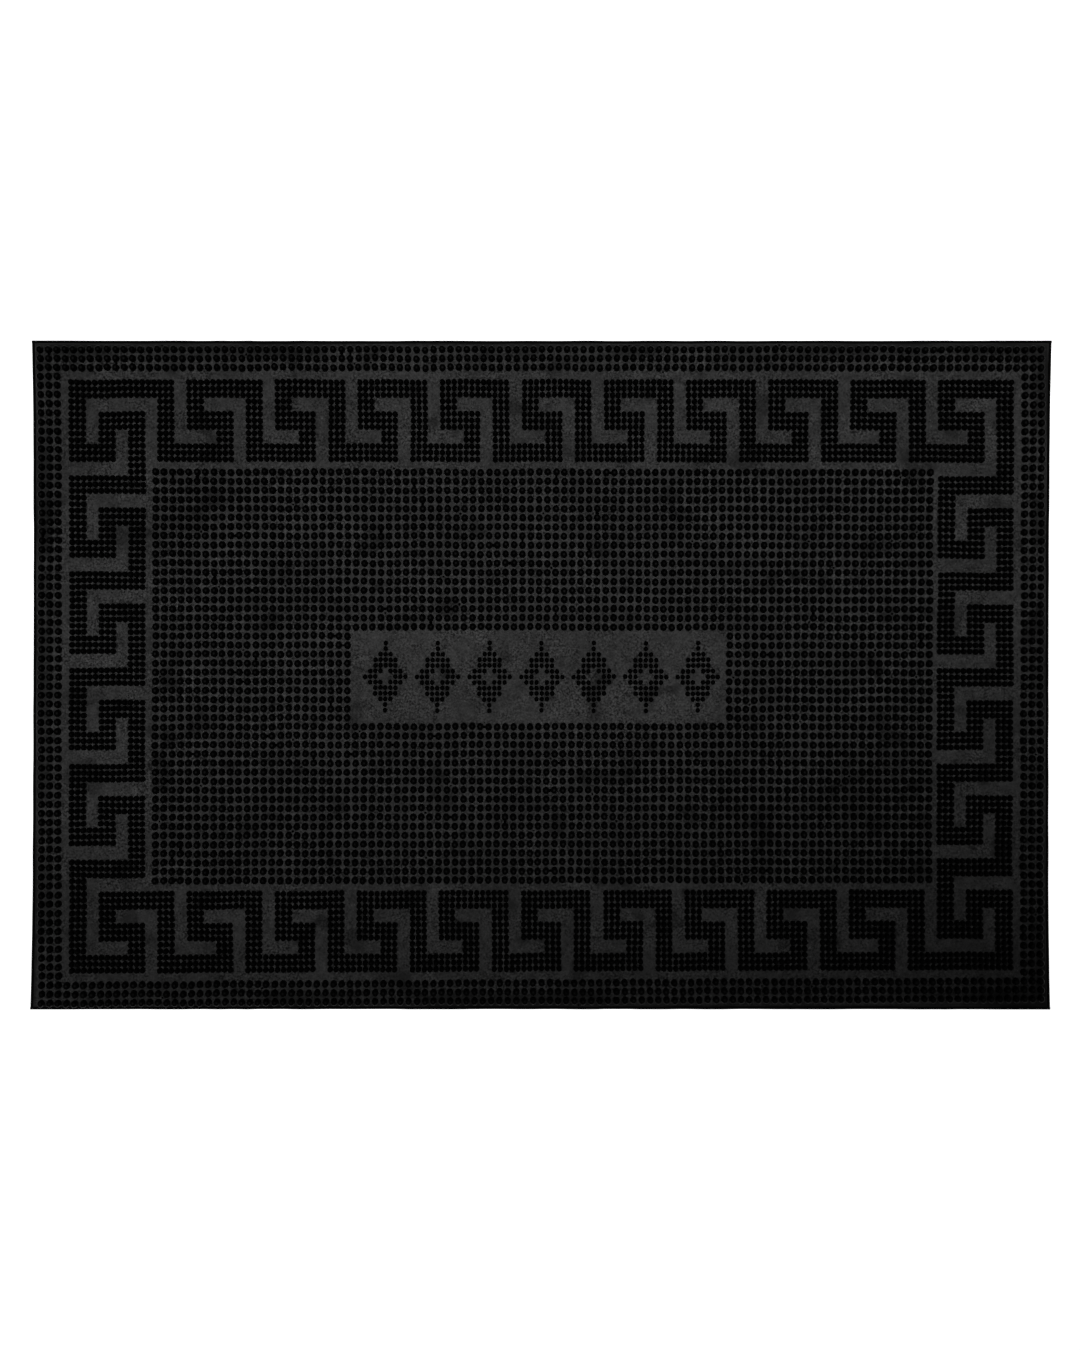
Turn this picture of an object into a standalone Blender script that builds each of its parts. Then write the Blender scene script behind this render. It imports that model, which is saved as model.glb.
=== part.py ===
"""Moulded rubber door mat: a backing sheet with a low edge bead, and on it the
pin-topped zones of its pattern: three rows of border studs, one closed Greek key
ribbon, a centre field of studs and a plain panel with a row of lozenges.

The mat lies in the XY plane, long side along X, underside on Z = 0, with the
origin below its centre. Each zone of pins is a solid of the pins' outline and
height. All sizes are in metres.
"""

import bpy
import bmesh

# Backing sheet
MAT_LENGTH = 0.762
MAT_WIDTH = 0.500
BACKING_THICKNESS = 0.003
SHORT_SIDE_HOLLOW = 0.0015      # how far a short side lies in from its corners
LONG_SIDE_HOLLOW = 0.0004       # the same for a long side
CORNER_FLARE = 4                # power of the curve: higher keeps the flare nearer the corners
SIDE_STEPS = 20                 # straight stretches along each curved side

# Edge bead
BEAD_WIDTH = 0.0011
BEAD_HEIGHT = 0.0010

# Pins, from the top of the backing sheet
PIN_HEIGHT = 0.005
SEAT_GAP = 0.0003               # between a zone of pins and the sheet it stands on

# Border studs
STUD_PITCH_X = 0.006208
STUD_PITCH_Y = 0.006752
STUD_GAP = 0.0014               # between neighbouring studs
BORDER_RINGS = 3
EDGE_MARGIN_X = 0.0059          # from the mat's short sides to the outermost studs
EDGE_MARGIN_Y = 0.0041          # from the mat's long sides to the outermost studs
PATTERN_SHIFT_X = 0.0002        # the pattern sits this far off the sheet's centre
PATTERN_SHIFT_Y = -0.0004

# Greek key ribbon, counted in fine pins
KEY_CHANNEL_X = 0.0060          # plain channel between the border studs and the key
KEY_CHANNEL_Y = 0.0062
KEY_PITCH_X = 0.004375
KEY_PITCH_Y = 0.004757
KEY_PIN_GAP = 0.0006            # between neighbouring fine pins
BAND_PINS = 13                  # width of a key band
CORNER_PINS = 18                # longest bar, at two opposite corners
LONG_UNIT = 15                  # pins from one key unit to the next beside a corner and on the short sides
SHORT_UNIT = 14                 # the same along the middle of a long side
SLOT_PINS = 2                   # gap between two bars of the ribbon

# Centre field and its plain panel, counted in studs
FIELD_CHANNEL_X = 0.0042        # least width of the plain channel between the key and the field
FIELD_CHANNEL_Y = 0.0045
FIELD_SHIFT_X = 0.0008          # the field sits this far off the pattern's centre
PANEL_LENGTH = 0.2808
PANEL_WIDTH = 0.0689
PANEL_SHIFT_X = -0.0023         # and the panel this far

# Row of lozenges in the panel, counted in the finest pins
LOZENGES = 7
LOZENGE_PINS_X = 9
LOZENGE_PINS_Y = 13
LOZENGE_PITCH_X = 0.00380
LOZENGE_PITCH_Y = 0.00418
LOZENGE_PIN_GAP = 0.00050
LOZENGE_SPACING = 0.0052        # clear space between two lozenges

# Rubber
SHEET_COLOUR = (0.030, 0.030, 0.030, 1.0)
BEAD_COLOUR = (0.014, 0.014, 0.014, 1.0)
STUD_COLOUR = (0.007, 0.007, 0.007, 1.0)
KEY_COLOUR = (0.006, 0.006, 0.006, 1.0)
SHEET_ROUGHNESS = 0.85
PIN_ROUGHNESS = 0.70

# Derived places
PIN_FOOT = BACKING_THICKNESS + SEAT_GAP
PIN_TOP = BACKING_THICKNESS + PIN_HEIGHT
HALF_LENGTH = MAT_LENGTH / 2
HALF_WIDTH = MAT_WIDTH / 2


def clear_scene():
    for obj in list(bpy.data.objects):
        bpy.data.objects.remove(obj, do_unlink=True)


def rubber(name, colour, roughness):
    material = bpy.data.materials.new(name)
    material.use_nodes = True
    shader = material.node_tree.nodes["Principled BSDF"]
    shader.inputs["Base Color"].default_value = colour
    shader.inputs["Roughness"].default_value = roughness
    shader.inputs["Metallic"].default_value = 0.0
    return material


def prism(name, outline, bottom, top, material):
    """A closed solid with a counter-clockwise outline, between two heights."""
    mesh = bpy.data.meshes.new(name)
    shape = bmesh.new()
    corners = [shape.verts.new((x, y, bottom)) for x, y in outline]
    floor = shape.faces.new(corners)
    raised = bmesh.ops.extrude_face_region(shape, geom=[floor])["geom"]
    lifted = [item for item in raised if isinstance(item, bmesh.types.BMVert)]
    bmesh.ops.translate(shape, verts=lifted, vec=(0, 0, top - bottom))
    bmesh.ops.recalc_face_normals(shape, faces=shape.faces)
    shape.to_mesh(mesh)
    shape.free()
    mesh.materials.append(material)
    obj = bpy.data.objects.new(name, mesh)
    bpy.context.scene.collection.objects.link(obj)
    return obj


def block(name, x_range, y_range, material):
    """A rectangular zone of pins."""
    (x0, x1), (y0, y1) = x_range, y_range
    outline = [(x0, y0), (x1, y0), (x1, y1), (x0, y1)]
    return prism(name, outline, PIN_FOOT, PIN_TOP, material)


# Outline of the sheet

def side_curve(inset):
    """Points along the four sides of the sheet, moved in by inset, each side from
    corner to corner and counter-clockwise from the front left corner."""
    half_x = HALF_LENGTH - inset
    half_y = HALF_WIDTH - inset
    front, right = [], []
    for step in range(SIDE_STEPS + 1):
        along = 2 * step / SIDE_STEPS - 1
        bow = 1 - abs(along) ** CORNER_FLARE
        front.append((along * half_x, -half_y + LONG_SIDE_HOLLOW * bow))
        right.append((half_x - SHORT_SIDE_HOLLOW * bow, along * half_y))
    back = [(-x, -y) for x, y in front]
    left = [(-x, -y) for x, y in right]
    return {"front": front, "right": right, "back": back, "left": left}


def make_sheet(material):
    sides = side_curve(0)
    outline = [point for side in sides.values() for point in side[:-1]]
    return prism("backing_sheet", outline, 0, BACKING_THICKNESS, material)


def make_edge_bead(material):
    """Four strips along the rim. The long ones run corner to corner and the short
    ones stop at them."""
    outer = side_curve(0)
    inner = side_curve(BEAD_WIDTH)
    stop = BEAD_WIDTH + LONG_SIDE_HOLLOW + SEAT_GAP
    foot = BACKING_THICKNESS + SEAT_GAP
    crest = BACKING_THICKNESS + BEAD_HEIGHT
    for side in ("front", "back"):
        outline = outer[side] + inner[side][::-1]
        prism("edge_bead_" + side, outline, foot, crest, material)
    for side in ("right", "left"):
        sign = 1 if side == "right" else -1
        clip = HALF_WIDTH - stop
        rim = [(x, sign * min(max(sign * y, -clip), clip)) for x, y in outer[side]]
        inside = [(x - sign * BEAD_WIDTH, y) for x, y in rim]
        prism("edge_bead_" + side, rim + inside[::-1], foot, crest, material)


# Border studs

def border_limits():
    """Outer half lengths of the border, and the widths of its strips."""
    outer_x = HALF_LENGTH - EDGE_MARGIN_X
    outer_y = HALF_WIDTH - EDGE_MARGIN_Y
    deep_x = BORDER_RINGS * STUD_PITCH_X - STUD_GAP
    deep_y = BORDER_RINGS * STUD_PITCH_Y - STUD_GAP
    return outer_x, outer_y, deep_x, deep_y


def make_border(material):
    outer_x, outer_y, deep_x, deep_y = border_limits()
    mid_x, mid_y = PATTERN_SHIFT_X, PATTERN_SHIFT_Y
    whole_x = (mid_x - outer_x, mid_x + outer_x)
    between = outer_y - deep_y - STUD_GAP
    whole_y = (mid_y - between, mid_y + between)
    block("border_studs_back", whole_x, (mid_y + outer_y - deep_y, mid_y + outer_y), material)
    block("border_studs_front", whole_x, (mid_y - outer_y, mid_y - outer_y + deep_y), material)
    block("border_studs_left", (mid_x - outer_x, mid_x - outer_x + deep_x), whole_y, material)
    block("border_studs_right", (mid_x + outer_x - deep_x, mid_x + outer_x), whole_y, material)


# Greek key

def key_half_size():
    """Half lengths of the rectangle that the key's outer pins fill."""
    outer_x, outer_y, deep_x, deep_y = border_limits()
    return outer_x - deep_x - KEY_CHANNEL_X, outer_y - deep_y - KEY_CHANNEL_Y


def key_counts():
    """How many short units a long side takes and long units a short side takes,
    then the whole key's pins along X and Y."""
    half_x, half_y = key_half_size()
    fixed_x = CORNER_PINS + SLOT_PINS + 2 * LONG_UNIT + BAND_PINS
    short_units = round((2 * half_x / KEY_PITCH_X - fixed_x) / SHORT_UNIT)
    side_units = round((2 * half_y / KEY_PITCH_Y - CORNER_PINS) / LONG_UNIT)
    columns = fixed_x + short_units * SHORT_UNIT
    rows = CORNER_PINS + side_units * LONG_UNIT
    return short_units, side_units, columns, rows


class KeyGrid:
    """The key's pins, in columns from the left and rows from the back. The pitch is
    stretched a little, so that a whole number of units fills each side."""

    def __init__(self):
        self.short_units, self.side_units, self.columns, self.rows = key_counts()
        self.half_x, self.half_y = key_half_size()
        self.pitch_x = (2 * self.half_x + KEY_PIN_GAP) / self.columns
        self.pitch_y = (2 * self.half_y + KEY_PIN_GAP) / self.rows
        self.pin_x = self.pitch_x - KEY_PIN_GAP
        self.pin_y = self.pitch_y - KEY_PIN_GAP

    def place(self, column, row):
        x = PATTERN_SHIFT_X - self.half_x + self.pin_x / 2 + column * self.pitch_x
        y = PATTERN_SHIFT_Y + self.half_y - self.pin_y / 2 - row * self.pitch_y
        return x, y

    def turned(self, path):
        """The same path after half a turn of the mat."""
        return [(self.columns - 1 - column, self.rows - 1 - row) for column, row in path]


BAR = 3                                     # pins across the ribbon
OUTER_LANE = BAR // 2                       # middle pin of the outer bars
INNER_LANE = BAND_PINS - 1 - OUTER_LANE     # middle pin of the bars nearest the field
MIDDLE_LANE = (OUTER_LANE + INNER_LANE) // 2


def long_side_units(grid):
    """First column and width of each unit along the back, after the corner bar."""
    widths = [LONG_UNIT] + [SHORT_UNIT] * grid.short_units + [LONG_UNIT, LONG_UNIT]
    start = CORNER_PINS + SLOT_PINS
    units = []
    for period in widths:
        units.append((start, period - SLOT_PINS))
        start += period
    return units


def half_key_paths(grid):
    """Middle lines of the ribbon's pieces, from the back left corner clockwise to
    the front right corner. Each piece starts beside the end of the one before."""
    leg = CORNER_PINS - 1 - OUTER_LANE
    back = [[(0, OUTER_LANE), (leg, OUTER_LANE), (leg, BAND_PINS - 1)]]
    units = long_side_units(grid)
    for start, width in units:
        hook = start + width - 2 - (INNER_LANE - MIDDLE_LANE)
        next_leg = start + width - 1 - OUTER_LANE
        back.append([
            (leg + OUTER_LANE + 1, INNER_LANE),
            (hook, INNER_LANE),
            (hook, MIDDLE_LANE),
            (start + OUTER_LANE, MIDDLE_LANE),
            (start + OUTER_LANE, OUTER_LANE),
            (next_leg, OUTER_LANE),
            (next_leg, BAND_PINS - 1),
        ])
        leg = next_leg
    outer = grid.columns - 1 - OUTER_LANE
    inner = grid.columns - 1 - INNER_LANE
    middle = grid.columns - 1 - MIDDLE_LANE
    row = LONG_UNIT + OUTER_LANE
    back[-1][-1] = (outer, row + OUTER_LANE)
    side = []
    for _ in range(grid.side_units):
        side.append([
            (outer - OUTER_LANE - 1, row),
            (inner, row),
            (inner, row + INNER_LANE - OUTER_LANE),
            (middle, row + INNER_LANE - OUTER_LANE),
            (middle, row + MIDDLE_LANE - OUTER_LANE),
            (outer, row + MIDDLE_LANE - OUTER_LANE),
            (outer, row + LONG_UNIT + OUTER_LANE),
        ])
        row += LONG_UNIT
    side[-1][-1] = (outer, grid.rows - 1 - BAR)
    return back, side


def sign(value):
    return (value > 0) - (value < 0)


def ribbon_outline(grid, path):
    """The edge of a ribbon three pins wide around a path of square turns."""
    points = [grid.place(column, row) for column, row in path]
    half_x = grid.pitch_x + grid.pin_x / 2
    half_y = grid.pitch_y + grid.pin_y / 2
    steps = []
    for (x0, y0), (x1, y1) in zip(points, points[1:]):
        steps.append((sign(round(x1 - x0, 6)), sign(round(y1 - y0, 6))))
    left, right = [], []
    for index, (x, y) in enumerate(points):
        before = steps[max(index - 1, 0)]
        after = steps[min(index, len(steps) - 1)]
        end = 0
        if index == 0:
            end = -1
        elif index == len(points) - 1:
            end = 1
        # The normal of a step (dx, dy) is (-dy, dx). A turn takes one from each side of it.
        side_x = -sign(before[1] + after[1]) * half_x
        side_y = sign(before[0] + after[0]) * half_y
        tip_x = end * after[0] * grid.pin_x / 2
        tip_y = end * after[1] * grid.pin_y / 2
        left.append((x + side_x + tip_x, y + side_y + tip_y))
        right.append((x - side_x + tip_x, y - side_y + tip_y))
    return right + left[::-1]


def make_key(material):
    grid = KeyGrid()
    back, right = half_key_paths(grid)
    bands = {
        "back": back,
        "right": right,
        "front": [grid.turned(path) for path in back],
        "left": [grid.turned(path) for path in right],
    }
    for side, paths in bands.items():
        for number, path in enumerate(paths, start=1):
            name = "key_%s_%02d" % (side, number)
            prism(name, ribbon_outline(grid, path), PIN_FOOT, PIN_TOP, material)
    return grid


# Centre field

def stud_span(room, pitch):
    """The length that whole studs fill of the room there is."""
    return int((room + STUD_GAP) / pitch) * pitch - STUD_GAP


def make_field(grid, material):
    """Four blocks of studs around the plain panel."""
    room_x = 2 * (grid.half_x - BAND_PINS * grid.pitch_x + KEY_PIN_GAP - FIELD_CHANNEL_X)
    room_y = 2 * (grid.half_y - BAND_PINS * grid.pitch_y + KEY_PIN_GAP - FIELD_CHANNEL_Y)
    half_x = stud_span(room_x, STUD_PITCH_X) / 2
    half_y = stud_span(room_y, STUD_PITCH_Y) / 2
    mid_x = PATTERN_SHIFT_X + FIELD_SHIFT_X
    mid_y = PATTERN_SHIFT_Y
    panel_left = PATTERN_SHIFT_X + PANEL_SHIFT_X - PANEL_LENGTH / 2
    panel_right = panel_left + PANEL_LENGTH
    panel_y = PANEL_WIDTH / 2
    whole_x = (mid_x - half_x, mid_x + half_x)
    beside = panel_y - STUD_GAP
    panel_band = (mid_y - beside, mid_y + beside)
    block("field_studs_back", whole_x, (mid_y + panel_y, mid_y + half_y), material)
    block("field_studs_front", whole_x, (mid_y - half_y, mid_y - panel_y), material)
    block("field_studs_left", (mid_x - half_x, panel_left), panel_band, material)
    block("field_studs_right", (panel_right, mid_x + half_x), panel_band, material)


def make_lozenges(material):
    long_x = LOZENGE_PINS_X * LOZENGE_PITCH_X - LOZENGE_PIN_GAP
    long_y = LOZENGE_PINS_Y * LOZENGE_PITCH_Y - LOZENGE_PIN_GAP
    for number in range(LOZENGES):
        x = PATTERN_SHIFT_X + (number - (LOZENGES - 1) / 2) * (long_x + LOZENGE_SPACING)
        y = PATTERN_SHIFT_Y
        outline = [
            (x, y - long_y / 2),
            (x + long_x / 2, y),
            (x, y + long_y / 2),
            (x - long_x / 2, y),
        ]
        prism("lozenge_%d" % (number + 1), outline, PIN_FOOT, PIN_TOP, material)


def main():
    clear_scene()
    make_sheet(rubber("sheet_rubber", SHEET_COLOUR, SHEET_ROUGHNESS))
    make_edge_bead(rubber("bead_rubber", BEAD_COLOUR, SHEET_ROUGHNESS))
    studs = rubber("stud_rubber", STUD_COLOUR, PIN_ROUGHNESS)
    make_border(studs)
    fine_pins = rubber("key_rubber", KEY_COLOUR, PIN_ROUGHNESS)
    grid = make_key(fine_pins)
    make_field(grid, studs)
    make_lozenges(fine_pins)


main()
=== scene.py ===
"""Looks of the moulded rubber door mat: every pin of the pattern on its backing
sheet, the low edge bead, the flash left by the mould, and the studio around them.

All lengths are in metres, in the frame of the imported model.
"""

import math

import bpy
import numpy as np
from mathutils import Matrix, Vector
from mathutils.bvhtree import BVHTree


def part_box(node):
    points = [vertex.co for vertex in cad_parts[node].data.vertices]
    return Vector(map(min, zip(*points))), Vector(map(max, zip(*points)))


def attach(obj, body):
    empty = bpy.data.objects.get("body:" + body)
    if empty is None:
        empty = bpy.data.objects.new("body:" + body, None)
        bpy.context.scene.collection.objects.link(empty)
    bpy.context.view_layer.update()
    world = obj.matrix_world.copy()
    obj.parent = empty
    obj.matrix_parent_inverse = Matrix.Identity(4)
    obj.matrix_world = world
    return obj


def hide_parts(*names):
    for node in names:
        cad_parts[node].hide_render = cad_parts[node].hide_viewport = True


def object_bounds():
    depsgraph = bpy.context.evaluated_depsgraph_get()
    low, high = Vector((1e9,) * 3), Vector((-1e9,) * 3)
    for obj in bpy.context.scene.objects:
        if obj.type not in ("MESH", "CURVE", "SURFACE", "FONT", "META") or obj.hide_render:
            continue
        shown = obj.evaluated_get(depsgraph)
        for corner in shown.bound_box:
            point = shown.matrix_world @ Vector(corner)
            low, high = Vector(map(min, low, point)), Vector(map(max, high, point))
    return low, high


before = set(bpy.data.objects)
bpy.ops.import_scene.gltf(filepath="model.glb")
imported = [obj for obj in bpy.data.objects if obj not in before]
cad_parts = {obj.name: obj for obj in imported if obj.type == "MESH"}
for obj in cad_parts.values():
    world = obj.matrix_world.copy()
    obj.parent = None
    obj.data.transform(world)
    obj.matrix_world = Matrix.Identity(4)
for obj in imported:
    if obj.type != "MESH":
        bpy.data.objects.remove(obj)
CAD_LOW, CAD_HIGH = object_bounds()

# Sheet
SHEET_LOW, SHEET_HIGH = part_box("backing_sheet")
LENGTH = SHEET_HIGH.x - SHEET_LOW.x
WIDTH = SHEET_HIGH.y - SHEET_LOW.y
SHEET_TOP = SHEET_HIGH.z
SHORT_SIDE_HOLLOW = 0.0015      # how far a short side lies in from its corners
LONG_SIDE_HOLLOW = 0.0001       # the same for a long side
CORNER_FLARE = 4                # power of the curve: higher keeps the flare nearer the corners
SHEET_SHEAR = 0.0006            # its back edge lies this far to the right of square
EDGE_WAVE = 0.00025             # the cut edge wanders inwards by up to this much
EDGE_WAVE_SWING = 1.5           # spread of the wave's turning, in radians
EDGE_WAVE_LENGTH = 0.055
EDGE_WAVE_FADE = 30             # power by which the wave dies out away from the edge
SHEET_SWELL = 0.00008           # slow rise and fall of the sheet's face
SHEET_SWELL_LENGTH = 0.05
SHEET_GRID = 0.003              # between the lines that the face is made of
# The face near its edge, in mm: how far in from the edge, and its rise there. A rounded
# arris comes first, then a shallow groove and a low ridge inside the bead.
RIM_PROFILE = (
    (0.0, -0.3), (0.25, -0.1), (0.6, 0.0), (1.1, 0.0), (1.35, -0.15), (1.6, -0.25),
    (1.9, -0.2), (2.2, 0.05), (2.5, 0.15), (2.8, 0.1), (3.2, 0.0), (4.0, 0.0))
# The sheet's side from the top down: how far in from the edge, and its height
SIDE_PROFILE = ((0.0, 0.0020), (0.0, 0.0006), (0.0002, 0.00015), (0.0007, 0.0), (0.006, 0.0))
# Parts of the sheet's map: its lower left corner and its size
FACE_MAP = ((0.01, 0.35), (0.98, 0.64))
UNDERSIDE_MAP = ((0.01, 0.01), (0.44, 0.29))
SIDE_MAP = ((0.48, 0.02), (0.50, 0.28))

# Bead
BEAD_WIDTH = 0.0021
BEAD_HEIGHT = 0.0010
BEAD_SUNK = 0.0001              # its middle lies this far below the sheet's face
BEAD_INSET = 0.00003            # from the sheet's edge
LONG_BEAD_END = 0.00002         # a long side's bead stops this short of the corner
SHORT_BEAD_END = 0.4 * BEAD_WIDTH       # and a short side's inside the long ones
BEAD_STEP = 0.004
BEAD_SIDES = 10
BEAD_ARC = (-25, 205)           # the round part, in degrees
BEAD_DEEPEST = -0.3             # its flat foot, as a share of the bead's height
BEAD_MAP = 0.96                 # share of the map that the bead's surface takes
BEAD_CAP_MAP = (0.985, 0.008)   # middle and radius of a bead's ends in the map

# Pins
STUD_PITCH_X = 0.006208
STUD_PITCH_Y = 0.006752
STUD_GAP = 0.0014
KEY_PITCH_X = 0.004375
KEY_PITCH_Y = 0.004757
KEY_PIN_GAP = 0.0006
BORDER_STUD_SIZE = 1.02         # share of what the pitch and gap leave
FIELD_STUD_SIZE = 1.035
KEY_PIN_SIZE = 1.07
LOZENGE_PINS_X = 9
LOZENGE_PINS_Y = 13
LOZENGE_PIN_GAP = 0.0005
LOZENGE_HOLE = 0.3              # size of its open middle, as a share of the lozenge's
PIN_SIDES = 12
# Height above the sheet as a share of the pin's, and radius as a share of its half width
STUD_RINGS = ((-0.03, 1.09), (0.08, 1.03), (0.88, 0.98), (0.965, 0.88), (1.0, 0.62))
FINE_RINGS = ((-0.03, 1.10), (0.08, 1.01), (0.88, 0.97), (0.965, 0.88), (1.0, 0.62))
PIN_CENTRE = 0.985              # height of the dish's middle, as a share of the pin's
STUD_JITTER = 0.00010           # spread of the studs' places and leans
FINE_JITTER = 0.00005           # the same for the key's and the lozenges' pins
SIZE_JITTER = 0.018             # spread of all the pins' widths, as a share
HEIGHT_JITTER = 0.00007
ROW_WANDER = 0.00016            # neighbouring pins wander together by this much
ROW_WANDER_LENGTH = 0.045
PATTERN_FLARE = 0.0005          # the pattern flares with the sheet's corners
FLARE_LEVEL = 0.3               # share of that flare where a column isn't moved
# The mould is not quite true. These say how far it moves the pins.
MOULD_RIGHT = 0.0003            # every pin, to the right
MOULD_FRONT = 0.0010            # every pin, to the front
COLUMN_SWAY = 0.0012            # each column: its back half right, its front half left
SWAY_RETURN = 0.9               # share of that sway which is gone at the edges
ROW_END_LEFT = 0.0005           # both ends of each row
ROW_END_OUT = 0.0004
ROW_END_FRONT = 0.0003
LEFT_TWIST = 0.0004             # the left end of the back rows out, of the front rows in
OUTER_ROWS_BACK = 0.0014        # the rows near the front and back edges
ROW_SHIFT = 0.0007              # rows of the back half to the back, of the front half to the front
SHIFT_RETURN = 1.1              # share of that shift which is gone at the edges
FRONT_TILT = 0.00115            # the front rows: their right end back, their left end front
TILT_TURN = -0.2                # place along the width, from -1 to 1, where the tilt turns round

# Flash: webs and lumps of spare rubber. Pairs are the least and the most.
WEB_SHARE = 0.012               # of the studs have a web to a neighbour
WEB_REACH = 1.15                # a neighbour is nearer than this share of the pitch
WEB_HALF_LENGTH = 0.0017
WEB_HALF_WIDTH = (0.0008, 0.0014)
WEB_RISE = (0.0008, 0.0036)
LUMP_SHARE = 0.02               # of the studs have a lump at the foot
LUMP_SIZE = (0.0005, 0.0011)    # half its length, and its height
LUMP_FLATNESS = (0.7, 1.0)      # its width, as a share of its length
LUMP_OUT_X = 1.25               # how far out it lies, as a share of the stud's half width
LUMP_OUT_Y = 1.15
FLASH_SIDES = 8
FLASH_RINGS = ((-0.05, 1.0), (0.45, 0.9), (0.85, 0.6))      # as for the pins
FLASH_ROUGHNESS = 0.25          # of each ring's radius
FLASH_SUNK = 0.0001             # its foot lies this far below the sheet's face

# Seeds of the random draws. A group's own number is added where there are several.
SWELL_SEED = 11
EDGE_SEEDS = (21, 22)
WANDER_SEEDS = (31, 32)
BORDER_SEED = 40
FIELD_SEED = 45
KEY_SEED = 50
LOZENGE_SEED = 70
FLASH_SEED = 90

# Colours of the rubber, as shares of white
SHEET_GREY = 0.030
PIN_BLACK = 0.00004
STUD_TOP_HIGHLIGHT_GREY = 0.0080         # painted highlight in the middle of the dish of a stud's top
# Painted highlight in the middle of the dish of a key pin's top
KEY_TOP_HIGHLIGHT_GREY = 0.0026
BEAD_GREY = (0.0008, 0.0030)
PIN_GLOSS_TINT = 0.0012         # low, so that the tops stay black under the lamp
BEAD_GLOSS_TINT = 0.02

# Studio
CAMERA_LENS = 60.0
VIEW_HEIGHT = 1.0085            # what the frame's height takes in at the sheet's face
VIEW_SHIFT = 0.00075            # the camera stands this far left of the centre
LAMP_HEIGHT = 4.0
LAMP_PLACE = (-0.02, 0.08)
LAMP_AIM = (-0.033, 0.135)
LAMP_ENERGY = 405
LAMP_ANGLE = 13.6               # of its cone, in degrees
LAMP_RADIUS = 0.22
LAMP_STRETCH = 2.3              # its cone is wider along the mat's length
FLOOR_REACH = 12.0
FLOOR_GAP = 0.0002              # below the sheet
FLOOR_GREY = 0.9
FLOOR_GLOW = 0.95
SKY_BRIGHT = 1.0                # near the horizon
SKY_DIM = 0.06                  # overhead
SKY_BETWEEN = (0.12, 0.65)      # where one fades into the other, as the height of a unit ray


# Shared geometry

def waves(x, y, seed, size, length):
    """A smooth random field: its spread is size and its features are length apart."""
    rng = np.random.default_rng(seed)
    total = np.zeros(np.shape(x))
    count = 7
    for _ in range(count):
        turn = rng.uniform(0, 2 * math.pi)
        shift = rng.uniform(0, 2 * math.pi)
        stretch = rng.uniform(0.7, 1.8)
        rate = 2 * math.pi / (length * stretch)
        total = total + np.sin(rate * (x * math.cos(turn) + y * math.sin(turn)) + shift)
    return size * total * math.sqrt(2 / count)


def sheet_height(x, y):
    return SHEET_TOP + waves(x, y, SWELL_SEED, SHEET_SWELL, SHEET_SWELL_LENGTH)


def shares(x, y):
    """A place along the mat's length and width, from -1 to 1."""
    return 2 * x / LENGTH, 2 * y / WIDTH


def edge_wave(x, y, seed):
    """How far the cut edge wanders inwards. It never wanders outwards."""
    swing = waves(x, y, seed, EDGE_WAVE_SWING, EDGE_WAVE_LENGTH)
    return EDGE_WAVE * (1 + np.sin(swing)) / 2


def hollowed(x, y):
    """A place on the plain rectangle, moved to where it is on the sheet with its
    hollow sides and uneven edge."""
    along_x, along_y = shares(x, y)
    bow_x = 1 - np.abs(along_y) ** CORNER_FLARE
    bow_y = 1 - np.abs(along_x) ** CORNER_FLARE
    wave_x = edge_wave(0 * x, y, EDGE_SEEDS[0]) * np.abs(along_x) ** EDGE_WAVE_FADE
    wave_y = edge_wave(x, 0 * y, EDGE_SEEDS[1]) * np.abs(along_y) ** EDGE_WAVE_FADE
    moved_x = x - along_x * bow_x * (SHORT_SIDE_HOLLOW + wave_x) + SHEET_SHEAR * along_y
    moved_y = y - along_y * bow_y * (LONG_SIDE_HOLLOW + wave_y)
    return moved_x, moved_y


def moulded(x, y):
    """A pin's place on the true pattern, moved to where the mould leaves it."""
    along_x, along_y = shares(x, y)
    flare = np.abs(along_y) ** CORNER_FLARE - FLARE_LEVEL
    moved_x = x + PATTERN_FLARE * along_x * flare + MOULD_RIGHT
    moved_x = moved_x + COLUMN_SWAY * (along_y - SWAY_RETURN * along_y ** 3)
    moved_x = moved_x - ROW_END_LEFT * along_x ** 2 + ROW_END_OUT * along_x ** 3
    moved_x = moved_x + LEFT_TWIST * along_x * (1 - along_x) * along_y
    moved_y = y - MOULD_FRONT + OUTER_ROWS_BACK * along_y ** 2
    moved_y = moved_y + ROW_SHIFT * (along_y - SHIFT_RETURN * along_y ** 3)
    moved_y = moved_y - ROW_END_FRONT * along_x ** 2
    moved_y = moved_y + FRONT_TILT * along_x * (along_y - 1) * (along_y - TILT_TURN)
    moved_x = moved_x + waves(x, y, WANDER_SEEDS[0], ROW_WANDER, ROW_WANDER_LENGTH)
    moved_y = moved_y + waves(x, y, WANDER_SEEDS[1], ROW_WANDER, ROW_WANDER_LENGTH)
    return moved_x, moved_y


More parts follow.
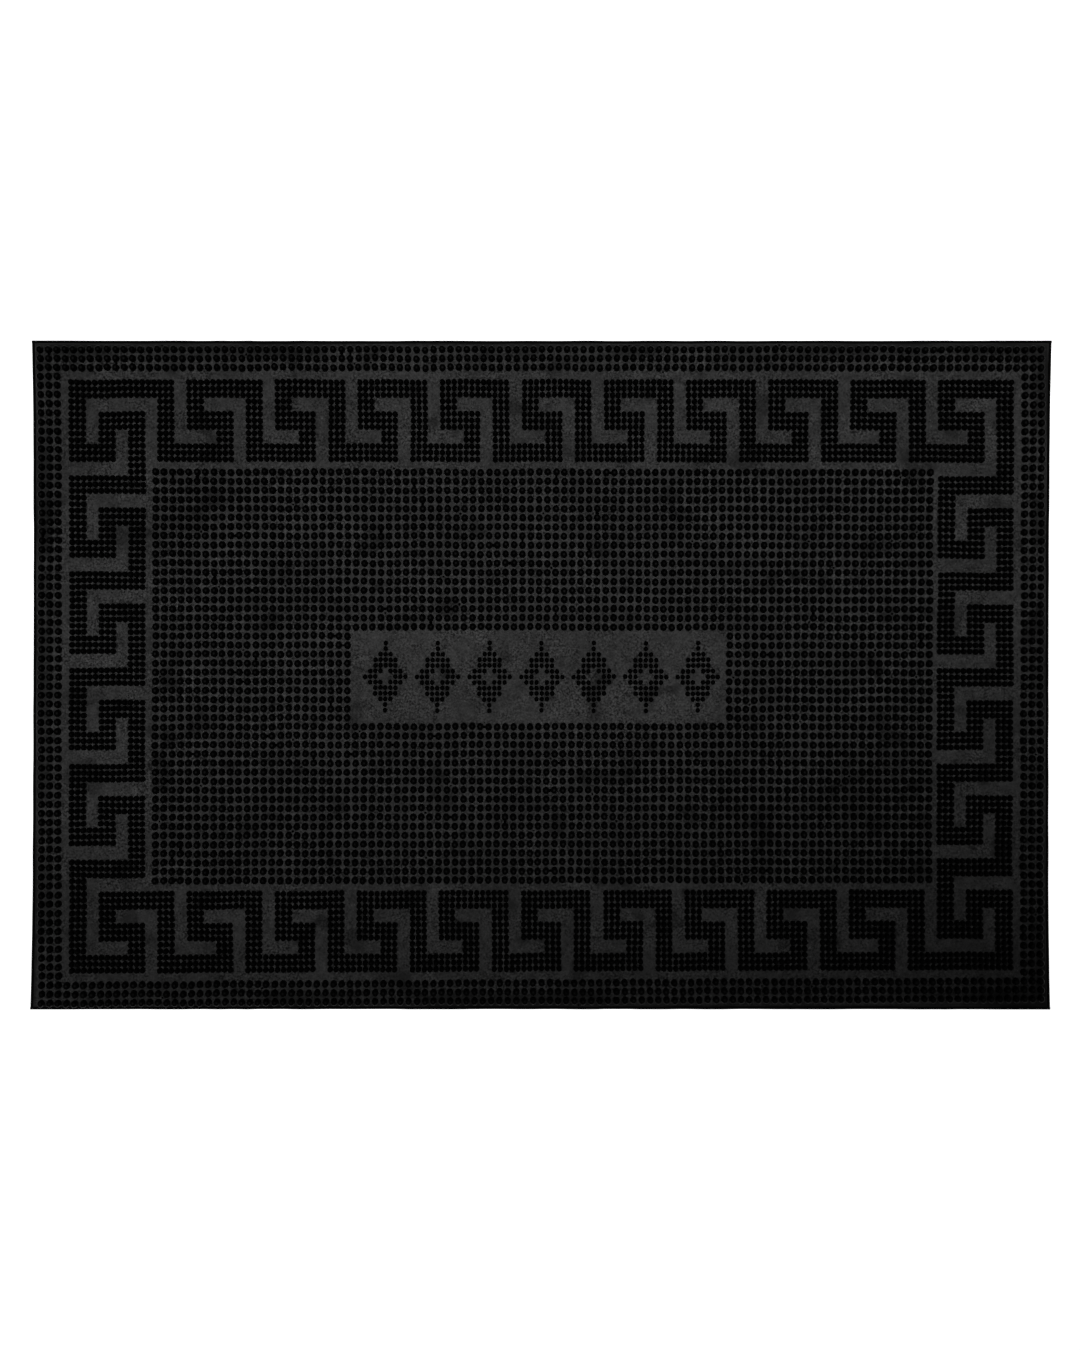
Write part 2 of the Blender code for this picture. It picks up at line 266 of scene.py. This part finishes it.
def build_mesh(name, points, faces, uv, attributes, material):
    """An object from arrays. faces is a list of arrays, one per number of corners, and
    uv holds one place per corner in the same order."""
    mesh = bpy.data.meshes.new(name)
    corners = np.concatenate([group.ravel() for group in faces]).astype(np.int32)
    sizes = np.concatenate([np.full(len(group), group.shape[1]) for group in faces])
    starts = np.concatenate([[0], np.cumsum(sizes)[:-1]]).astype(np.int32)
    mesh.vertices.add(len(points))
    mesh.vertices.foreach_set("co", np.asarray(points, np.float32).ravel())
    mesh.loops.add(len(corners))
    mesh.loops.foreach_set("vertex_index", corners)
    mesh.polygons.add(len(sizes))
    mesh.polygons.foreach_set("loop_start", starts)
    mesh.polygons.foreach_set("use_smooth", np.ones(len(sizes), bool))
    layer = mesh.uv_layers.new(name="OFBake")
    layer.data.foreach_set("uv", np.asarray(uv, np.float32).ravel())
    for label, values in attributes.items():
        made = mesh.attributes.new(label, "FLOAT", "POINT")
        made.data.foreach_set("value", np.asarray(values, np.float32))
    mesh.materials.append(material)
    mesh.update(calc_edges=True)
    obj = bpy.data.objects.new(name, mesh)
    bpy.context.scene.collection.objects.link(obj)
    return obj


def from_above(points, faces):
    """Each corner's place in the map, seen from above, with a margin round it."""
    margin = 0.01
    low = points[:, :2].min(axis=0)
    high = points[:, :2].max(axis=0)
    flat = margin + (1 - 2 * margin) * (points[:, :2] - low) / (high - low)
    return np.concatenate([flat[group.ravel()] for group in faces])


def stacked_faces(rings, sides, count):
    """Faces of count closed bodies, each a stack of rings with one point on top: their
    bases, the bands between their rings, and their tops."""
    around = np.arange(sides)
    after = (around + 1) % sides
    band = np.stack([around, after, after + sides, around + sides], axis=1)
    bands = np.concatenate([band + ring * sides for ring in range(rings - 1)])
    last = (rings - 1) * sides
    fan = np.stack([around + last, after + last, np.full(sides, rings * sides)], axis=1)
    offset = np.arange(count)[:, None, None] * (rings * sides + 1)
    base = (around[::-1][None, None, :] + offset).reshape(-1, sides)
    return [base, (bands[None] + offset).reshape(-1, 4), (fan[None] + offset).reshape(-1, 3)]


def finish_piece(piece, slot, *nodes):
    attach(piece, "root")
    if nodes:
        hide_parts(*nodes)


# Pins

class Pins:
    """Places and half sizes of a group of pins, with their small differences."""

    def __init__(self, x, y, half_x, half_y, rings, jitter, seed):
        rng = np.random.default_rng(seed)
        count = len(x)
        x, y = moulded(x, y)
        self.rings = rings
        self.x = x + rng.normal(0, jitter, count)
        self.y = y + rng.normal(0, jitter, count)
        self.half_x = half_x * (1 + rng.normal(0, SIZE_JITTER, count))
        self.half_y = half_y * (1 + rng.normal(0, SIZE_JITTER, count))
        self.lean_x = rng.normal(0, jitter, count)
        self.lean_y = rng.normal(0, jitter, count)
        self.height = -np.abs(rng.normal(0, HEIGHT_JITTER, count))
        self.tone = rng.uniform(0, 1, count)
        self.count = count


def pin_mesh(name, pins, pin_top, material):
    """Every pin of a group as one mesh: a flared foot sunk in the sheet, a slightly
    tapered side, a rounded shoulder and a shallow dish in the top. The attribute crown is
    1 in the middle of the dish, where it places a painted highlight, and 0 elsewhere, and
    tone differs from pin to pin."""
    rings = len(pins.rings)
    per_pin = rings * PIN_SIDES + 1
    turn = 2 * math.pi * (np.arange(PIN_SIDES) + 0.5) / PIN_SIDES
    foot = sheet_height(pins.x, pins.y)
    tall = pin_top + pins.height - foot
    points = np.empty((pins.count, per_pin, 3))
    crown = np.zeros((pins.count, per_pin))
    for ring, (level, radius) in enumerate(pins.rings):
        part = slice(ring * PIN_SIDES, (ring + 1) * PIN_SIDES)
        lean = max(level, 0)
        points[:, part, 0] = (pins.x + lean * pins.lean_x)[:, None] + np.outer(
            pins.half_x * radius, np.cos(turn))
        points[:, part, 1] = (pins.y + lean * pins.lean_y)[:, None] + np.outer(
            pins.half_y * radius, np.sin(turn))
        points[:, part, 2] = (foot + level * tall)[:, None]
    points[:, -1, 0] = pins.x + pins.lean_x
    points[:, -1, 1] = pins.y + pins.lean_y
    points[:, -1, 2] = foot + PIN_CENTRE * tall
    crown[:, -1] = 1
    faces = stacked_faces(rings, PIN_SIDES, pins.count)
    points = points.reshape(-1, 3)
    attributes = {"crown": crown.ravel(), "tone": np.repeat(pins.tone, per_pin)}
    return build_mesh(name, points, faces, from_above(points, faces), attributes, material)


def rows_of_studs(node, size, seed):
    """Whole studs filling a CAD block."""
    low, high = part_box(node)
    across = round((high.x - low.x + STUD_GAP) / STUD_PITCH_X)
    along = round((high.y - low.y + STUD_GAP) / STUD_PITCH_Y)
    step_x = (high.x - low.x + STUD_GAP) / across
    step_y = (high.y - low.y + STUD_GAP) / along
    half_x = (STUD_PITCH_X - STUD_GAP) / 2
    half_y = (STUD_PITCH_Y - STUD_GAP) / 2
    column, row = np.meshgrid(np.arange(across), np.arange(along))
    x = low.x + (step_x - STUD_GAP) / 2 + column.ravel() * step_x
    y = low.y + (step_y - STUD_GAP) / 2 + row.ravel() * step_y
    return Pins(x, y, half_x * size, half_y * size, STUD_RINGS, STUD_JITTER, seed)


def make_studs(zone, size, seed, material):
    """The border's or the field's four groups of studs."""
    made = []
    for number, side in enumerate(("back", "front", "left", "right")):
        node = "%s_studs_%s" % (zone, side)
        pins = rows_of_studs(node, size, seed + number)
        piece = pin_mesh("%s_pins_%s" % (zone, side), pins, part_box(node)[1].z, material)
        finish_piece(piece, "stud_rubber", node)
        made.append(pins)
    return made


def key_nodes(side):
    return sorted(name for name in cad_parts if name.startswith("key_" + side))


def inside(node, x, y):
    """Which of the places lie within a CAD node's outline."""
    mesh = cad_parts[node].data
    tree = BVHTree.FromPolygons(
        [v.co.copy() for v in mesh.vertices], [list(p.vertices) for p in mesh.polygons])
    low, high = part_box(node)
    near = (x > low.x) & (x < high.x) & (y > low.y) & (y < high.y)
    down = Vector((0, 0, -1))
    found = np.zeros(len(x), bool)
    for index in np.flatnonzero(near):
        start = Vector((x[index], y[index], high.z + 1))
        found[index] = tree.ray_cast(start, down)[0] is not None
    return found


def key_grid():
    """Places of all the cells that the key's pins may fill, and the pins' half sizes."""
    boxes = [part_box(node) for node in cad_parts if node.startswith("key_")]
    low = Vector(min(box[0][axis] for box in boxes) for axis in range(3))
    high = Vector(max(box[1][axis] for box in boxes) for axis in range(3))
    columns = round((high.x - low.x + KEY_PIN_GAP) / KEY_PITCH_X)
    rows = round((high.y - low.y + KEY_PIN_GAP) / KEY_PITCH_Y)
    step_x = (high.x - low.x + KEY_PIN_GAP) / columns
    step_y = (high.y - low.y + KEY_PIN_GAP) / rows
    half_x = (step_x - KEY_PIN_GAP) / 2
    half_y = (step_y - KEY_PIN_GAP) / 2
    column, row = np.meshgrid(np.arange(columns), np.arange(rows))
    x = low.x + half_x + column.ravel() * step_x
    y = low.y + half_y + row.ravel() * step_y
    return x, y, half_x, half_y


def make_key(material):
    """Fine pins in every cell of the key's grid that lies on one of its CAD nodes."""
    x, y, half_x, half_y = key_grid()
    for number, side in enumerate(("back", "front", "left", "right")):
        nodes = key_nodes(side)
        filled = np.zeros(len(x), bool)
        for node in nodes:
            filled |= inside(node, x, y)
        pins = Pins(
            x[filled], y[filled], half_x * KEY_PIN_SIZE, half_y * KEY_PIN_SIZE,
            FINE_RINGS, FINE_JITTER, KEY_SEED + number)
        piece = pin_mesh("key_pins_" + side, pins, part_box(nodes[0])[1].z, material)
        finish_piece(piece, "key_rubber", *nodes)


def make_lozenges(material):
    """Small lozenges of fine pins, open at the middle."""
    nodes = sorted(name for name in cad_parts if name.startswith("lozenge_"))
    reach_x = LOZENGE_PINS_X // 2
    reach_y = LOZENGE_PINS_Y // 2
    column, row = np.meshgrid(
        np.arange(-reach_x, reach_x + 1), np.arange(-reach_y, reach_y + 1))
    out = np.abs(column) / reach_x + np.abs(row) / reach_y
    rounding = 0.01
    shown = (out < 1 + rounding) & (out > LOZENGE_HOLE)
    for number, node in enumerate(nodes):
        low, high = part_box(node)
        step_x = (high.x - low.x + LOZENGE_PIN_GAP) / LOZENGE_PINS_X
        step_y = (high.y - low.y + LOZENGE_PIN_GAP) / LOZENGE_PINS_Y
        middle = (low + high) / 2
        x = middle.x + column[shown] * step_x
        y = middle.y + row[shown] * step_y
        half_x = (step_x - LOZENGE_PIN_GAP) / 2
        half_y = (step_y - LOZENGE_PIN_GAP) / 2
        pins = Pins(x, y, half_x, half_y, FINE_RINGS, FINE_JITTER, LOZENGE_SEED + number)
        piece = pin_mesh("lozenge_pins_%d" % (number + 1), pins, high.z, material)
        finish_piece(piece, "key_rubber", node)


def blob_points(x, y, z, size_x, size_y, size_z, turn, rng):
    """Corners of one low lump: a wide ring, a shoulder ring and a crown."""
    around = 2 * math.pi * np.arange(FLASH_SIDES) / FLASH_SIDES
    points = []
    for level, radius in FLASH_RINGS:
        rough = radius * (1 + rng.uniform(-FLASH_ROUGHNESS, FLASH_ROUGHNESS, FLASH_SIDES))
        out_x = size_x * rough * np.cos(around)
        out_y = size_y * rough * np.sin(around)
        points.append(np.stack([
            x + out_x * math.cos(turn) - out_y * math.sin(turn),
            y + out_x * math.sin(turn) + out_y * math.cos(turn),
            np.full(FLASH_SIDES, z + level * size_z)], axis=1))
    points.append(np.array([[x, y, z + size_z]]))
    return np.concatenate(points)


def webs(pins, rng):
    """Webs between some studs of a group and a neighbour."""
    made = []
    for index in np.flatnonzero(rng.uniform(0, 1, pins.count) < WEB_SHARE):
        apart = np.hypot(pins.x - pins.x[index], pins.y - pins.y[index])
        near = np.flatnonzero((apart > 0) & (apart < WEB_REACH * STUD_PITCH_Y))
        if not len(near):
            continue
        other = near[rng.integers(len(near))]
        x = (pins.x[index] + pins.x[other]) / 2
        y = (pins.y[index] + pins.y[other]) / 2
        turn = math.atan2(pins.y[other] - pins.y[index], pins.x[other] - pins.x[index])
        rise = rng.uniform(*WEB_RISE)
        made.append((x, y, WEB_HALF_LENGTH, rng.uniform(*WEB_HALF_WIDTH), rise, turn))
    return made


def lumps(pins, rng):
    """Lumps at the foot of some studs of a group."""
    made = []
    for index in np.flatnonzero(rng.uniform(0, 1, pins.count) < LUMP_SHARE):
        x = pins.x[index] + pins.half_x[index] * LUMP_OUT_X * rng.choice((-1, 1))
        y = pins.y[index] + pins.half_y[index] * LUMP_OUT_Y * rng.choice((-1, 1))
        size = rng.uniform(*LUMP_SIZE)
        width = size * rng.uniform(*LUMP_FLATNESS)
        made.append((x, y, size, width, size, rng.uniform(0, 3)))
    return made


def make_flash(studs, material):
    """Webs of rubber left by the mould between some neighbouring studs, and small
    lumps at the foot of others."""
    rng = np.random.default_rng(FLASH_SEED)
    blobs = []
    for pins in studs:
        blobs += webs(pins, rng)
        blobs += lumps(pins, rng)
    foot = SHEET_TOP - FLASH_SUNK
    points = np.concatenate([
        blob_points(x, y, foot, size_x, size_y, size_z, turn, rng)
        for x, y, size_x, size_y, size_z, turn in blobs])
    faces = stacked_faces(len(FLASH_RINGS), FLASH_SIDES, len(blobs))
    attributes = {"crown": np.zeros(len(points)), "tone": np.full(len(points), 0.5)}
    piece = build_mesh(
        "mould_flash", points, faces, from_above(points, faces), attributes, material)
    finish_piece(piece, "stud_rubber")


# Backing sheet

def grid_lines(length, rim):
    """Places of the sheet's grid lines, close together along the rim."""
    inner = length / 2 - rim[-1]
    between = np.linspace(-inner, inner, round(2 * inner / SHEET_GRID) + 1)
    return np.concatenate([-length / 2 + rim[:-1], between, (length / 2 - rim[:-1])[::-1]])


def make_sheet(material):
    """The face as a grid, then a wall of rings down the side, and the underside."""
    rim, rises = np.array(RIM_PROFILE).T / 1000
    xs = grid_lines(LENGTH, rim)
    ys = grid_lines(WIDTH, rim)
    x, y = np.meshgrid(xs, ys)
    inset = np.minimum(LENGTH / 2 - np.abs(x), WIDTH / 2 - np.abs(y))
    moved_x, moved_y = hollowed(x, y)
    calm = np.clip(inset / rim[-1], 0, 1)
    swell = (sheet_height(x, y) - SHEET_TOP) * calm
    height = SHEET_TOP + swell + np.interp(inset, rim, rises)
    top = np.stack([moved_x, moved_y, height], axis=-1).reshape(-1, 3)
    columns, rows = len(xs), len(ys)
    index = np.arange(columns * rows).reshape(rows, columns)
    quads = np.stack([index[:-1, :-1], index[:-1, 1:], index[1:, 1:], index[1:, :-1]], axis=-1)
    quads = quads.reshape(-1, 4)
    loop = np.concatenate([index[0, :-1], index[:-1, -1], index[-1, :0:-1], index[:0:-1, 0]])
    around = len(loop)
    rings = [loop]
    points = [top]
    total = len(top)
    for step_in, level in SIDE_PROFILE:
        shrink_x = 1 - 2 * step_in / LENGTH
        shrink_y = 1 - 2 * step_in / WIDTH
        ring = top[loop] * (shrink_x, shrink_y, 0) + (0, 0, level)
        points.append(ring)
        rings.append(total + np.arange(around))
        total += around
    walls = []
    for upper, lower in zip(rings, rings[1:]):
        walls.append(np.stack([upper, lower, np.roll(lower, -1), np.roll(upper, -1)], axis=1))
    walls = np.concatenate(walls)
    base = rings[-1][::-1][None, :]
    points = np.concatenate(points)
    faces = [base, walls, quads]
    shade = np.concatenate([inset.ravel(), np.zeros(len(points) - len(top))])
    uv = sheet_map(points, faces, around)
    piece = build_mesh("rubber_sheet", points, faces, uv, {"inset": shade}, material)
    finish_piece(piece, "sheet_rubber", "backing_sheet")


def sheet_map(points, faces, around):
    """The sheet's map: its face across the top, its underside and walls below."""
    share = (points[:, :2] - points[:, :2].min(axis=0)) / np.ptp(points[:, :2], axis=0)
    base, walls, quads = faces
    bands = len(walls) // around
    along = np.tile(np.arange(around), bands) / around
    level = np.repeat(np.arange(bands), around) / bands
    wall_u = np.stack([along, along, along + 1 / around, along + 1 / around], axis=1)
    wall_v = np.stack([level, level + 1 / bands, level + 1 / bands, level], axis=1)
    strip = np.stack([wall_u.ravel(), wall_v.ravel()], axis=1)
    placed = []
    for part, (corner, size) in (
            (share[base.ravel()], UNDERSIDE_MAP), (strip, SIDE_MAP),
            (share[quads.ravel()], FACE_MAP)):
        placed.append(part * size + corner)
    return np.concatenate(placed)


def make_bead(side, material):
    """A low round bead along one side of the rim."""
    long_side = side in ("front", "back")
    way = 1 if side in ("back", "right") else -1
    flipped = (way > 0) == long_side
    span, across = (LENGTH, WIDTH) if long_side else (WIDTH, LENGTH)
    ends = LONG_BEAD_END if long_side else SHORT_BEAD_END
    along = np.linspace(-span / 2 + ends, span / 2 - ends, round(span / BEAD_STEP))
    turn = np.radians(np.linspace(*BEAD_ARC, BEAD_SIDES))
    middle = across / 2 - BEAD_INSET - BEAD_WIDTH / 2
    out = middle + np.cos(turn) * BEAD_WIDTH / 2
    rise = SHEET_TOP - BEAD_SUNK + np.maximum(np.sin(turn), BEAD_DEEPEST) * BEAD_HEIGHT
    run, cross = np.meshgrid(along, out, indexing="ij")
    x, y = hollowed(*((run, way * cross) if long_side else (way * cross, run)))
    points = np.stack([x, y, np.broadcast_to(rise, x.shape)], axis=-1).reshape(-1, 3)
    count, ring = x.shape
    index = np.arange(count * ring).reshape(count, ring)
    after = np.roll(index, -1, axis=1)
    quads = np.stack([index[:-1], index[1:], after[1:], after[:-1]], axis=-1).reshape(-1, 4)
    caps = np.stack([index[0], index[-1][::-1]])
    step, lane = np.meshgrid(np.arange(count - 1), np.arange(ring), indexing="ij")
    u = np.stack([step, step + 1, step + 1, step], axis=-1).reshape(-1, 4) / count
    v = np.stack([lane, lane, lane + 1, lane + 1], axis=-1).reshape(-1, 4) / (ring + 1)
    if flipped:
        quads, caps, u, v = quads[:, ::-1], caps[:, ::-1], u[:, ::-1], v[:, ::-1]
    body = np.stack([u.ravel(), v.ravel()], axis=1) * BEAD_MAP + 0.01
    cap_middle, cap_radius = BEAD_CAP_MAP
    cap = np.stack([np.cos(turn), np.sin(turn)], axis=1) * cap_radius + cap_middle
    uv = np.concatenate([body, cap, cap])
    piece = build_mesh("rim_bead_" + side, points, [quads, caps], uv, {}, material)
    finish_piece(piece, "bead_rubber", "edge_bead_" + side)


# Materials

class Nodes:
    """Short calls for building a material's nodes."""

    def __init__(self, name):
        self.material = bpy.data.materials.new(name)
        self.material.use_nodes = True
        self.tree = self.material.node_tree
        self.shader = self.tree.nodes["Principled BSDF"]
        coordinates = self.tree.nodes.new("ShaderNodeTexCoord")
        self.place = coordinates.outputs["Object"]

    def link(self, source, target):
        self.tree.links.new(source, target)

    def put(self, socket, value):
        """Sets a socket, from a number or from another node's output."""
        if isinstance(value, bpy.types.NodeSocket):
            self.link(value, socket)
        else:
            socket.default_value = value

    def noise(self, scale, detail=2.0, rough=0.5):
        node = self.tree.nodes.new("ShaderNodeTexNoise")
        self.link(self.place, node.inputs["Vector"])
        node.inputs["Scale"].default_value = scale
        node.inputs["Detail"].default_value = detail
        node.inputs["Roughness"].default_value = rough
        return node.outputs["Fac"]

    def cells(self, scale):
        """Distance to the nearest of a random scatter of points, 0 to about 1."""
        node = self.tree.nodes.new("ShaderNodeTexVoronoi")
        self.link(self.place, node.inputs["Vector"])
        node.inputs["Scale"].default_value = scale
        return node.outputs["Distance"]

    def attribute(self, name):
        node = self.tree.nodes.new("ShaderNodeAttribute")
        node.attribute_name = name
        return node.outputs["Fac"]

    def remap(self, value, low, high, to_low, to_high):
        node = self.tree.nodes.new("ShaderNodeMapRange")
        self.put(node.inputs["Value"], value)
        for label, number in (
                ("From Min", low), ("From Max", high), ("To Min", to_low), ("To Max", to_high)):
            node.inputs[label].default_value = number
        return node.outputs["Result"]

    def math(self, operation, first, second):
        node = self.tree.nodes.new("ShaderNodeMath")
        node.operation = operation
        self.put(node.inputs[0], first)
        self.put(node.inputs[1], second)
        return node.outputs["Value"]

    def grey(self, value):
        """Makes the colour a grey of this brightness."""
        node = self.tree.nodes.new("ShaderNodeCombineColor")
        for channel in range(3):
            self.link(value, node.inputs[channel])
        self.link(node.outputs["Color"], self.shader.inputs["Base Color"])

    def roughness(self, value, low, high):
        """Makes the roughness follow a noise, from low to high."""
        self.link(self.remap(value, 0.3, 0.7, low, high), self.shader.inputs["Roughness"])

    def bump(self, height, distance, strength):
        node = self.tree.nodes.new("ShaderNodeBump")
        self.link(height, node.inputs["Height"])
        node.inputs["Distance"].default_value = distance
        node.inputs["Strength"].default_value = strength
        self.link(node.outputs["Normal"], self.shader.inputs["Normal"])


def rim_shade(nodes, level):
    """Paints shade on the sheet towards its rim, deeper in patches near the edge, and paints
    a thin highlight along the low ridge that runs inside the bead."""
    line_inset = 0.0026
    inset = nodes.attribute("inset")
    # Painted shade: the sheet darkens towards its rim, to about a quarter within 2.6 mm of the
    # edge
    level = nodes.math("MULTIPLY", level, nodes.remap(inset, line_inset, 0.0070, 0.24, 1.0))
    # Painted shade in patches, only within about 15 mm of the edge
    patchy_rim_shade = nodes.remap(nodes.noise(11, 1.0), 0.44, 0.56, 0.4, 1.0)
    patchy_rim_shade = nodes.math("MAXIMUM", patchy_rim_shade, nodes.remap(inset, 0.006, 0.015, 0.0, 1.0))
    level = nodes.math("MULTIPLY", level, patchy_rim_shade)
    # Painted highlight: a thin pale line along the low ridge inside the bead, broken in places
    off_line = nodes.math("ABSOLUTE", nodes.math("SUBTRACT", inset, line_inset), 0.0)
    ridge_highlight = nodes.remap(off_line, 0.0001, 0.0006, 0.6, 0.0)
    broken = nodes.remap(nodes.noise(18), 0.42, 0.55, 0.0, 1.0)
    return nodes.math("ADD", level, nodes.math("MULTIPLY", ridge_highlight, broken))


def sheet_rubber():
    """Matt rubber with a grainy moulded face, pale specks, dark pits, soft smudges and
    small stains. The level is the rubber's brightness, about 1 on the open face."""
    nodes = Nodes("sheet_rubber_look")
    grain = nodes.noise(620, 2.0, 0.6)
    coarse = nodes.noise(190)
    smudge = nodes.noise(14, 3.0)
    patchy = nodes.remap(nodes.noise(45), 0.40, 0.62, 0.55, 1.5)
    level = nodes.math("MULTIPLY", nodes.remap(grain, 0.34, 0.66, -0.75, 0.75), patchy)
    level = nodes.math("ADD", level, nodes.remap(coarse, 0.3, 0.7, 0.70, 1.30))
    level = nodes.math("MAXIMUM", level, 0.05)
    level = nodes.math("MULTIPLY", level, nodes.remap(smudge, 0.35, 0.65, 0.84, 1.14))
    specks = nodes.remap(nodes.cells(330), 0.0, 0.22, 1.4, 0.0)
    level = nodes.math("ADD", level, specks)
    pitted = nodes.math("ADD", nodes.remap(nodes.noise(60, 1.0), 0.52, 0.62, 0.0, 0.75), 0.25)
    pits = nodes.math("MULTIPLY", nodes.remap(nodes.cells(240), 0.07, 0.22, 1.0, 0.0), pitted)
    level = nodes.math("MULTIPLY", level, nodes.math("SUBTRACT", 1.0, pits))
    stains = nodes.remap(nodes.noise(34), 0.60, 0.67, 1.0, 0.50)
    level = nodes.math("MULTIPLY", level, stains)
    # The rim's painted shade and the painted highlight on the ridge inside the bead
    nodes.grey(nodes.math("MULTIPLY", rim_shade(nodes, level), SHEET_GREY))
    nodes.roughness(grain, 0.82, 0.95)
    nodes.shader.inputs["Specular IOR Level"].default_value = 0.25
    nodes.bump(nodes.math("ADD", grain, nodes.math("MULTIPLY", coarse, 0.8)), 0.00016, 0.8)
    return nodes.material


def pin_rubber(name, top_highlight_grey):
    """Black rubber of the pins, with a painted highlight in the middle of the dish of each top."""
    nodes = Nodes(name)
    tone = nodes.remap(nodes.attribute("tone"), 0.0, 1.0, 0.65, 1.35)
    grain = nodes.remap(nodes.noise(1600), 0.3, 0.7, 0.7, 1.3)
    smudge = nodes.remap(nodes.noise(25), 0.35, 0.65, 0.8, 1.25)
    # Painted highlight: the middle of each top's dish is greyer than the black rubber
    level = nodes.remap(nodes.attribute("crown"), 0.2, 0.9, PIN_BLACK, top_highlight_grey)
    for factor in (tone, grain, smudge):
        level = nodes.math("MULTIPLY", level, factor)
    nodes.grey(level)
    nodes.roughness(nodes.noise(700), 0.42, 0.58)
    nodes.shader.inputs["Specular Tint"].default_value = 3 * (PIN_GLOSS_TINT,) + (1.0,)
    nodes.bump(nodes.noise(1300), 0.00006, 0.6)
    return nodes.material


def bead_rubber():
    """Black rubber of the bead, darker than the sheet."""
    nodes = Nodes("bead_rubber_look")
    nodes.grey(nodes.remap(nodes.noise(300, 3.0), 0.3, 0.7, *BEAD_GREY))
    nodes.roughness(nodes.noise(500), 0.6, 0.8)
    nodes.shader.inputs["Specular Tint"].default_value = 3 * (BEAD_GLOSS_TINT,) + (1.0,)
    nodes.bump(nodes.noise(900), 0.00008, 0.6)
    return nodes.material


# Studio

def make_floor():
    """A white floor that glows a little, so that it stays as pale as the horizon."""
    level = CAD_LOW.z - FLOOR_GAP
    corners = [
        (FLOOR_REACH * x, FLOOR_REACH * y, level)
        for x, y in ((-1, -1), (1, -1), (1, 1), (-1, 1))]
    mesh = bpy.data.meshes.new("studio_floor")
    mesh.from_pydata(corners, [], [(0, 1, 2, 3)])
    floor = bpy.data.objects.new("studio_floor", mesh)
    bpy.context.scene.collection.objects.link(floor)
    material = bpy.data.materials.new("studio_white")
    material.use_nodes = True
    shader = material.node_tree.nodes["Principled BSDF"]
    shader.inputs["Base Color"].default_value = 3 * (FLOOR_GREY,) + (1.0,)
    shader.inputs["Roughness"].default_value = 1.0
    shader.inputs["Specular IOR Level"].default_value = 0.0
    shader.inputs["Emission Color"].default_value = (1.0, 1.0, 1.0, 1.0)
    shader.inputs["Emission Strength"].default_value = FLOOR_GLOW
    mesh.materials.append(material)


def make_world():
    """Bright near the horizon and dim overhead, so that gloss shows from the side."""
    world = bpy.data.worlds.new("studio")
    bpy.context.scene.world = world
    world.use_nodes = True
    tree = world.node_tree
    coordinates = tree.nodes.new("ShaderNodeTexCoord")
    split = tree.nodes.new("ShaderNodeSeparateXYZ")
    ramp = tree.nodes.new("ShaderNodeMapRange")
    tree.links.new(coordinates.outputs["Generated"], split.inputs[0])
    tree.links.new(split.outputs["Z"], ramp.inputs["Value"])
    for label, number in zip(
            ("From Min", "From Max", "To Min", "To Max"), (*SKY_BETWEEN, SKY_BRIGHT, SKY_DIM)):
        ramp.inputs[label].default_value = number
    tree.links.new(ramp.outputs["Result"], tree.nodes["Background"].inputs["Strength"])
    tree.nodes["Background"].inputs["Color"].default_value = (1.0, 1.0, 1.0, 1.0)


def make_lamp():
    """One soft lamp high overhead, aimed at the back left, so light fades to the
    front right."""
    lamp = bpy.data.lights.new("overhead_lamp", "SPOT")
    lamp.energy = LAMP_ENERGY
    lamp.spot_size = math.radians(LAMP_ANGLE)
    lamp.spot_blend = 1.0
    lamp.shadow_soft_size = LAMP_RADIUS
    obj = bpy.data.objects.new("overhead_lamp", lamp)
    bpy.context.scene.collection.objects.link(obj)
    obj.scale = (LAMP_STRETCH, 1.0, 1.0)
    obj.location = (*LAMP_PLACE, LAMP_HEIGHT)
    aim = Vector((*LAMP_AIM, 0)) - obj.location
    obj.rotation_euler = aim.to_track_quat("-Z", "Y").to_euler()


def make_camera():
    """Straight above the mat, at the distance where the frame takes in VIEW_HEIGHT."""
    camera = bpy.data.cameras.new("camera")
    camera.lens = CAMERA_LENS
    obj = bpy.data.objects.new("camera", camera)
    bpy.context.scene.collection.objects.link(obj)
    distance = CAMERA_LENS / camera.sensor_width * VIEW_HEIGHT
    middle = (CAD_LOW + CAD_HIGH) / 2
    obj.location = (middle.x - VIEW_SHIFT, middle.y, SHEET_TOP + distance)
    bpy.context.scene.camera = obj


def main():
    make_sheet(sheet_rubber())
    bead = bead_rubber()
    for side in ("front", "back", "left", "right"):
        make_bead(side, bead)
    studs = pin_rubber("stud_rubber_look", STUD_TOP_HIGHLIGHT_GREY)
    fine = pin_rubber("key_rubber_look", KEY_TOP_HIGHLIGHT_GREY)
    places = make_studs("border", BORDER_STUD_SIZE, BORDER_SEED, studs)
    places += make_studs("field", FIELD_STUD_SIZE, FIELD_SEED, studs)
    make_flash(places, studs)
    make_key(fine)
    make_lozenges(fine)
    make_floor()
    make_world()
    make_lamp()
    make_camera()
    bpy.context.scene.view_settings.view_transform = "Standard"


main()
